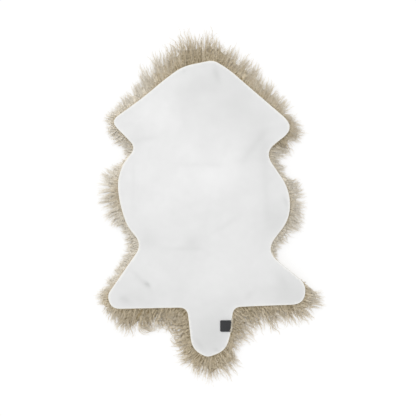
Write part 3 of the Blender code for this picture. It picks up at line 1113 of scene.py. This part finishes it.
# inset: how far under the skin it starts. start and end: heights as shares of the skin's.
LAYERS = (
    Layer("floor", 0.014, 0.30, 0.03, 0.92),
    Layer("lower", 0.011, 0.55, 0.06, 1.02),
    Layer("upper", 0.007, 0.78, 0.12, 1.00),
    Layer("top", 0.003, 0.94, 0.20, 0.88),
)
GUIDE_POINTS = 22
FLOOR_CLEARANCE = 0.0006
STRAND_ROOM = 0.0024  # half a strand's width at its root
STRAND_DEPTH = 0.0016
LONGEST = 1.40  # the longest strand, as a share of the table's reach
ROOT_RISE = (-0.0020, 0.0012)  # how far a root is from its layer's height
TURN_SPREAD = (8.0, 9.0)  # degrees, and as many more where the wool curls
HOOK = (1.4, 3.4)  # how far a curled tip turns, in radians
NO_HOOK = (-0.4, 0.6)
HOOK_GAIN = 0.09  # what a curled strand is longer, for each radian
CRIMP_HEIGHTS = (0.0004, 0.0011)
TONE_SPREAD = 0.45
CURLED_SEGMENT, STRAIGHT_SEGMENT, SEGMENT_SHRINK = 0.0048, 0.0085, 0.0070


def smooth(t):
    """From 0 to 1 with a soft start and a soft end."""
    t = min(1.0, max(0.0, t))
    return t * t * (3.0 - 2.0 * t)


def edge_lock(i, layer, clump, rng):
    """One strand: a line from under the skin's edge out to its tip."""
    step = wool_steps[i]
    jitter = rng.uniform(-0.5, 0.5) * wool_step
    across = i * wool_step + jitter - clump.middle
    off_middle = min(1.0, abs(across) / clump.half)
    point = step.clump
    plain_turn, curl_turn = TURN_SPREAD
    turn = clump.turn * (0.4 + 0.6 * point) + rng.gauss(0.0, plain_turn + curl_turn * step.curl)
    out = Matrix.Rotation(math.radians(turn), 2) @ out_directions[i]
    side = Vector((-out.y, out.x))
    spread = 0.44 + 0.25 * (1.0 - step.thick)
    length = LONGEST * step.reach * layer.length * clump.length
    length *= 1.0 - spread * rng.random() ** 1.25
    length *= 1.0 - 0.40 * point * off_middle**1.5
    length /= math.cos(math.radians(step.lean))
    hooks = clump.chance < step.curl
    hook = clump.hand * rng.uniform(*(HOOK if hooks else NO_HOOK))
    if hooks:
        length *= 1.0 + HOOK_GAIN * abs(hook)
    travel = length + layer.inset
    root = step.point - mean_out[i] * layer.inset - side * jitter
    skin_z = skin_height(step.point)
    high = skin_z * layer.start + rng.uniform(*ROOT_RISE)
    low = skin_z * layer.end
    wave = clump.wave * rng.uniform(0.6, 1.2) * (0.4 + 0.6 * point) * (1.0 + 1.6 * step.curl)
    phase = clump.phase + rng.uniform(-0.7, 0.7) + layer.start * 4.0
    waves = travel / (clump.pitch * rng.uniform(0.96, 1.04) * (1.0 - 0.4 * step.curl))
    path = []
    spot = root.copy()
    for k in range(GUIDE_POINTS):
        t = k / (GUIDE_POINTS - 1)
        shown = max(0.0, (t * travel - layer.inset) / max(length, 0.001))
        bow = hook * smooth((shown - 0.40) / 0.60) ** 1.2 + clump.bend * shown * 3.0
        heading = out * math.cos(bow) + side * math.sin(bow)
        if k:
            spot = spot + heading * travel / (GUIDE_POINTS - 1)
        drift = side * (across * point * 0.64 * smooth(shown))
        round_turn = phase + math.tau * waves * t
        ripple = side * (wave * math.sin(round_turn) * min(1.0, t * 2))
        z = high + (low - high) * shown**1.5 + wave * math.cos(round_turn)
        place = spot + drift + ripple
        path.append((place.x, place.y, max(FLOOR_CLEARANCE, min(high, z))))
    tip_room = STRAND_ROOM * (0.55 - 0.30 * point)
    shares = [k / (GUIDE_POINTS - 1) for k in range(GUIDE_POINTS)]
    room = [STRAND_ROOM + (tip_room - STRAND_ROOM) * smooth(t) for t in shares]
    depth = [STRAND_DEPTH * (1.0 - 0.6 * t) for t in shares]
    contrast = 0.05 + 1.4 * point**1.5
    # A lock's tone: its clump's and its own random shade, plus the table's `pale`, which is
    # partly painted light.
    tone = (clump.tone * 0.3 + rng.uniform(-TONE_SPREAD, TONE_SPREAD)) * contrast + step.pale
    segment = CURLED_SEGMENT if hooks else STRAIGHT_SEGMENT - SEGMENT_SHRINK * step.curl
    return Guide(path, room, depth, rng.uniform(*CRIMP_HEIGHTS), tone, segment)


def plan_edge_locks():
    """All the locks round the edge, in order, with the step that each one grows from."""
    planned = []
    for i in range(wool_count):
        rng = random.Random(i)  # its own numbers, so that a changed row moves only its own wool
        place = i * wool_step
        clump = min(clumps, key=lambda c: abs(place - c.middle) - c.half)
        for layer in LAYERS:
            if rng.random() < wool_steps[i].thick:
                planned.append((i, edge_lock(i, layer, clump, rng)))
    return planned


edge_locks = plan_edge_locks()
print(f"{len(edge_locks)} locks round the edge")

# %% [markdown]
# ## Pieces round the edge
#
# A piece of the wool stays under 200,000 triangles, so the locks are grown in nine stretches,
# each from one corner of the outline to the next one named.

# %% Grow the locks round the edge
Stretch = namedtuple("Stretch", "name first")  # from this corner to the next stretch's
STRETCHES = (
    Stretch("wool_neck", "neck_left"),
    Stretch("wool_shoulder_right", "shoulder_right"),
    Stretch("wool_side_right", "flank_right"),
    Stretch("wool_leg_right", "hind_leg_right"),
    Stretch("wool_tail", "tail_root_right"),
    Stretch("wool_leg_left", "crotch_left"),
    Stretch("wool_side_left", "thigh_left"),
    Stretch("wool_chest_left", "ribs_left"),
    Stretch("wool_shoulder_left", "elbow_left"),
)
EDGE_WOOL = {
    "Fibres": 6,
    "Radius": 0.00040,
    "Crimp length": 0.022,
    "Clearance": FLOOR_CLEARANCE,
}


def first_step(corner_name):
    """The wool step nearest to a named corner."""
    corner = next(c for c in CORNERS if c.name == corner_name)
    place = Vector((corner.x, corner.y)) + shift
    return min(range(wool_count), key=lambda i: (wool_steps[i].point - place).length)


starts = [first_step(stretch.first) for stretch in STRETCHES]
wool_pieces = []
for number, stretch in enumerate(STRETCHES):
    first, after = starts[number], starts[(number + 1) % len(starts)]
    size = (after - first) % wool_count
    chosen = [lock for i, lock in edge_locks if (i - first) % wool_count < size]
    wool_pieces.append(grow_wool(stretch.name, chosen, number + 1, EDGE_WOOL))

# %% [markdown]
# ## Locks on the wool side
#
# The side that lies on the floor is the one that people know a sheepskin by. Its locks are
# combed roughly outwards from the middle of the back, each one bent over and pressed flat.
# The same tree makes them, from guides on an even field of points. They keep some room under
# the skin, and are left out where they would stick out at a part of the edge that is bare.

# %% Where the locks under the skin may grow
UNDER_SPACING = 0.0165
UNDER_INSET = 0.004  # how far from the edge they stay
BARE_REACH = 0.010  # wool that shows less than this past the edge is rubbed away


def is_well_inside(point):
    return is_inside(point) and edge_distance(point) >= UNDER_INSET


def near_growth(point):
    """How the wool grows at the edge step nearest to a point."""
    return edge_steps[edge_finder.find(point.to_3d())[1]]


def shows_at_bare_edge(path):
    """Whether a lock would stick out where the wool is rubbed away."""
    spots = [Vector(place[:2]) for place in path]
    return any(near_growth(s).reach < BARE_REACH for s in spots if not is_well_inside(s))


def under_roots(rng):
    """Roots on an even field inside the outline, each one moved a little."""
    row_step = UNDER_SPACING * math.sin(math.pi / 3)
    for row in range(int((high_y - low_y) / row_step) + 1):
        for column in range(int((high_x - low_x) / UNDER_SPACING) + 1):
            x = low_x + (column + 0.5 * (row % 2)) * UNDER_SPACING
            y = low_y + row * row_step
            jitter = Vector((rng.uniform(-0.4, 0.4), rng.uniform(-0.4, 0.4))) * UNDER_SPACING
            root = Vector((x, y)) + shift + jitter
            if is_well_inside(root):
                yield root


# %% Locks under the skin
UNDER_LENGTH = 0.040
UNDER_POINTS = 8
UNDER_ROOM = 0.007  # what a lock keeps between its line and the skin
UNDER_SPREAD = 0.0060  # half a lock's width at its root
UNDER_DEPTH = 0.0014
UNDER_CLEARANCE = 0.0009
UNDER_START = 0.0045  # how far inside the body a lock starts
UNDER_WAVE = 0.0016
UNDER_WOOL = {
    "Fibres": 5,
    "Radius": 0.0009,
    "Crimp length": 0.018,
    "Clearance": UNDER_CLEARANCE,
}


def under_lock(root, rng):
    """One lock, combed outwards from the middle of the back and curled at its tip."""
    combed = Vector((root.x, root.y * 0.4 - 0.05)).normalized()
    turn = wander(root, 1.7) * 1.1 + rng.uniform(-0.35, 0.35)
    out = Matrix.Rotation(turn, 2) @ combed
    length = UNDER_LENGTH * rng.uniform(0.75, 1.15)
    hook = rng.choice((-1, 1)) * rng.uniform(0.4, 3.2)
    far = root + out * length * 0.8
    if not is_inside(far) and near_growth(far).thick < 0.9:
        out = -out
    side = Vector((-out.y, out.x))
    path = []
    spot = root.copy()
    for k in range(UNDER_POINTS):
        t = k / (UNDER_POINTS - 1)
        angle = hook * t**1.6
        heading = out * math.cos(angle) + side * math.sin(angle)
        if k:
            spot = spot + heading * length / (UNDER_POINTS - 1)
        z = (wool_underside(spot) + UNDER_START) * (1.0 - t) ** 1.2
        z += UNDER_WAVE * (1.0 + math.sin(t * 9.0 + hook))
        highest = skin_height(spot) - UNDER_ROOM
        path.append((spot.x, spot.y, max(UNDER_CLEARANCE, min(highest, z))))
    room = [UNDER_SPREAD * (1.0 - 0.65 * k / (UNDER_POINTS - 1)) for k in range(UNDER_POINTS)]
    return Guide(path, room, UNDER_DEPTH, 0.0008, rng.uniform(-0.4, 0.3), 0.0085)


rng = random.Random(23)
under_locks = [under_lock(root, rng) for root in under_roots(rng)]
under_locks = [lock for lock in under_locks if not shows_at_bare_edge(lock.path)]
halves = (
    ("wool_under_front", [g for g in under_locks if g.path[0][1] >= 0.0]),
    ("wool_under_back", [g for g in under_locks if g.path[0][1] < 0.0]),
)
for number, (name, chosen) in enumerate(halves):
    wool_pieces.append(grow_wool(name, chosen, number + 31, UNDER_WOOL))

# %% [markdown]
# ## What the tape's finish is
#
# Woven polyester in a dark grey, with a little gloss. Its weave is a fine rib across the fold,
# which shows as a soft stripe from near by, crossed by finer threads. Two waves multiplied make
# that, and they drive both the colour and the bump. The tape is plain.

# %% The tape's material
RIB_PITCH = 0.0011
THREAD_PITCH = 0.0007
WAVE_SCALE = math.tau / 20  # what makes a wave repeat once in a metre

tape_material, tree, shader = new_material("woven_polyester_tape")
place = add_node(tree, "ShaderNodeTexCoord").outputs["Object"]
ribs, threads = [
    add_node(
        tree,
        "ShaderNodeTexWave",
        {"Vector": place, "Scale": WAVE_SCALE / pitch, "Distortion": waver, "Detail": 1.0},
        bands_direction=direction,
    ).outputs["Fac"]
    for pitch, waver, direction in ((RIB_PITCH, 0.6, "Y"), (THREAD_PITCH, 1.0, "X"))
]
weave = add_node(tree, "ShaderNodeMath", {0: ribs, 1: threads}, operation="MULTIPLY").outputs[0]
ramp = add_node(tree, "ShaderNodeValToRGB", {"Fac": weave})
darkest, palest = ramp.color_ramp.elements
darkest.color, palest.color = linear("#1F2022"), linear("#444547")
bump = add_node(tree, "ShaderNodeBump", {"Height": weave, "Strength": 0.5, "Distance": 0.0003})
inputs = {
    "Base Color": ramp.outputs["Color"],
    "Normal": bump.outputs["Normal"],
    "Roughness": 0.75,
    "Specular IOR Level": 0.35,
    "Sheen Weight": 0.2,
}
set_inputs(tree, shader, inputs)

# %% [markdown]
# ## The tape
#
# The tape is about 31 mm wide, folded in two and sewn in under the skin's edge. It could be a
# box with a bump, but a real fold has two plies and a round bend. So one line is drawn across
# it, swept along the edge, and thickened. Rays find where the skin's rim and its top are.

# %% Where the skin's rim is beside the tail
LABEL_FOLD_X = 0.035
LABEL_LENGTH = 0.031
LABEL_Y = -0.323
BEHIND_RIM = 0.001  # where the rim's rounding ends and the top starts
RIM_SEARCH = 0.02  # how far past the fold the rim's height is looked up
FAR_RIGHT, FAR_ABOVE = 0.2, 0.1  # where the rays start
LEFT, DOWN = Vector((-1.0, 0.0, 0.0)), Vector((0.0, 0.0, -1.0))


def skin_top(x, y):
    """The height of the skin's top at a place."""
    return skin_finder.ray_cast(Vector((x, y, FAR_ABOVE)), DOWN)[0].z


def skin_rim(y):
    """Where the skin's rim is beside the tail, and how high its top is there."""
    rim_z = skin_surface(Vector((LABEL_FOLD_X + shift.x + RIM_SEARCH, y))) + HIDE_THICKNESS / 2
    rim_x = skin_finder.ray_cast(Vector((FAR_RIGHT, y, rim_z)), LEFT)[0].x
    return rim_x, skin_top(rim_x - BEHIND_RIM, y)


# %% The tape's mesh
TAPE_THICKNESS = 0.0005
PLY_GAP = 0.0004
TAPE_SLACK = 0.0002
TAPE_PUFF = 0.0003  # how far the upper ply bows up in its middle
TAPE_ROWS = 47
PLY_STEPS = 18
FOLD_CORNER = 0.0035


def ply(y, fold_x, offset, puff):
    """One ply's line: up round the skin's rim, and over the skin to the fold."""
    rim_x, rim_top = skin_rim(y)
    line = [Vector((rim_x + offset, y, rim_top - HIDE_THICKNESS))]
    for degrees in (0, 20, 40, 60, 80):
        x = rim_x + offset * math.cos(math.radians(degrees))
        line.append(Vector((x, y, rim_top + offset * math.sin(math.radians(degrees)))))
    for k in range(1, PLY_STEPS + 1):
        x = rim_x - BEHIND_RIM + (fold_x - rim_x + BEHIND_RIM) * k / PLY_STEPS
        rise = offset + puff * math.sin(math.pi * k / PLY_STEPS)
        line.append(Vector((x, y, skin_top(x, y) + rise)))
    return line


def tape_line(y, fold_x):
    """One line across the folded tape: in from the skin's edge, round the fold, and back."""
    nearest = GAP + TAPE_SLACK + TAPE_THICKNESS / 2
    farthest = nearest + TAPE_THICKNESS + PLY_GAP
    lower, upper = ply(y, fold_x, nearest, 0.0), ply(y, fold_x, farthest, TAPE_PUFF)
    fold = (farthest - nearest) / 2
    bend = []
    for degrees in (45, 90, 135):
        across = fold * math.sin(math.radians(degrees))
        rise = fold * (1.0 - math.cos(math.radians(degrees)))
        bend.append(lower[-1] + Vector((-across, 0.0, rise)))
    return lower + bend + upper[::-1]


def make_tape():
    """The line swept along the edge, in rows, with the fold's two corners rounded."""
    bm = bmesh.new()
    lines = []
    for row in range(TAPE_ROWS):
        share = row / (TAPE_ROWS - 1)
        y = LABEL_Y + shift.y + LABEL_LENGTH * (share - 0.5)
        from_end = LABEL_LENGTH * min(share, 1.0 - share)
        corner = max(0.0, FOLD_CORNER - from_end)
        fold_x = LABEL_FOLD_X + shift.x + FOLD_CORNER - math.sqrt(FOLD_CORNER**2 - corner**2)
        lines.append([bm.verts.new(p) for p in tape_line(y, fold_x)])
    for first, second in zip(lines, lines[1:]):
        for a, b, c, d in zip(first, first[1:], second[1:], second):
            bm.faces.new((a, b, c, d))
    made = finish_mesh("tape", bm, tape_material)
    shell = made.modifiers.new("thickness", "SOLIDIFY")
    shell.thickness = TAPE_THICKNESS
    shell.offset = 0.0
    return made


tape = make_tape()
print(f"tape: {triangles(tape)} triangles before its thickness")

# %% [markdown]
# ## Wisps over the tape's end
#
# The wool beside the tail springs up past the skin's edge and lies over the end of the tape
# where it is sewn in. These wisps go round that end in an arc and stop a little way in.

# %% Wisps over the tape's end
WISPS = 15
WISP_SPREAD = 1.1  # the length of their row, as a share of the tape's
WISP_ARC = (0.0033, 0.0038)  # the arc's radius, so that it clears both plies of the tape
WISP_LAP = (0.0002, 0.0015)  # how far it lies over the tape
WISP_SLANT = (0.002, 0.008)
WISP_TONE = (0.3, 0.9)


def plan_wisps():
    """Short locks that go up round the skin's rim and lie over the tape."""
    planned = []
    rng = random.Random(41)
    for i in range(WISPS):
        share = WISP_SPREAD * (i + rng.random()) / WISPS - WISP_SPREAD / 2
        y = LABEL_Y + shift.y + LABEL_LENGTH * share
        rim_x, rim_top = skin_rim(y)
        radius, lap, slant = [rng.uniform(*limits) for limits in (WISP_ARC, WISP_LAP, WISP_SLANT)]
        path = []
        for k, degrees in enumerate((-70, -40, -10, 20, 50, 70, 90)):
            x = rim_x + radius * math.cos(math.radians(degrees))
            z = rim_top + radius * math.sin(math.radians(degrees))
            path.append((x, y + slant * (1.0 - k / 6), z))
        for k in (1, 2):
            path.append((rim_x - lap * k / 2, y - slant * k / 4, rim_top + radius - 0.0001 * k))
        planned.append(Guide(path, 0.0016, 0.0003, 0.0001, rng.uniform(*WISP_TONE), 0.0014))
    return planned


wool_pieces.append(grow_wool("wool_over_tape", plan_wisps(), 51, EDGE_WOOL))

# %% [markdown]
# ## Each piece rides on the root and replaces its solid

# %% Ride and replace
for piece in [wool_body, *wool_pieces]:
    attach(piece, "root")
    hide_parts("fleece")
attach(skin, "root")
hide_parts("hide")
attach(tape, "root")
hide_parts("label")
print(f"{2 + len(wool_pieces) + 1} pieces ride on the root")

# %% [markdown]
# ## Floor, light and camera
#
# The photograph looks straight down on the rug, on a white floor with soft light from the upper
# left and hardly a shadow. A floor that glows a little, like a light table, a bright sky and one
# very wide sun lamp make that. A long lens from far above keeps the rug's thickness from
# showing at its sides.

# %% The floor
FLOOR_SIZE = 6.0

bpy.ops.mesh.primitive_plane_add(size=FLOOR_SIZE, location=(0.0, 0.0, 0.0))
floor = bpy.context.object
floor.name = "floor"
floor_material, tree, shader = new_material("white_light_table")
inputs = {
    "Base Color": linear("#9C9C9C"),
    "Emission Color": (1.0, 1.0, 1.0, 1.0),
    "Emission Strength": 0.62,
    "Roughness": 0.95,
    "Specular IOR Level": 0.0,
}
set_inputs(tree, shader, inputs)
floor.data.materials.append(floor_material)
print(f"the floor is {FLOOR_SIZE} m wide")

# %% The light
SKY_STRENGTH = 0.98
SUN_STRENGTH = 1.15
SUN_WIDTH_DEG = 70.0
SUN_PLACE = (-1.6, 2.0, 2.6)  # only its direction from the rug matters

world = bpy.data.worlds.new("studio")
bpy.context.scene.world = world
world.use_nodes = True
sky = {"Color": (1.0, 1.0, 1.0, 1.0), "Strength": SKY_STRENGTH}
set_inputs(world.node_tree, world.node_tree.nodes["Background"], sky)
sun = bpy.data.lights.new("wide_softbox", "SUN")
sun.energy = SUN_STRENGTH
sun.angle = math.radians(SUN_WIDTH_DEG)
lamp = add_object("wide_softbox", sun)
lamp.location = SUN_PLACE
lamp.rotation_euler = (-lamp.location).to_track_quat("-Z", "Y").to_euler()
height = math.degrees(math.asin(lamp.location.normalized().z))
print(f"the sun stands {height:.0f} degrees above the floor")

# %% The camera
PHOTO_PIXELS = 416
PIXEL = 0.002714  # metres on the rug to one pixel of the photograph
CAMERA_HEIGHT = 6.0
RUG_HEIGHT = 0.030
OFF_CENTRE = (0.5, -1.0)  # pixels from the outline's middle to the photograph's

camera_data = bpy.data.cameras.new("camera")
camera = add_object("camera", camera_data)
camera_data.sensor_width = 36.0
view_width = PHOTO_PIXELS * PIXEL
camera_data.lens = camera_data.sensor_width * (CAMERA_HEIGHT - RUG_HEIGHT) / view_width
right, up = OFF_CENTRE
camera.location = (shift.x + right * PIXEL, shift.y + up * PIXEL, CAMERA_HEIGHT)
bpy.context.scene.camera = camera
bpy.context.scene.view_settings.view_transform = "Standard"
print(f"the lens is {camera_data.lens:.1f} mm")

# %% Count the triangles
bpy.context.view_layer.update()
print("triangles in all:", sum(triangles(p) for p in [wool_body, skin, tape, *wool_pieces]))
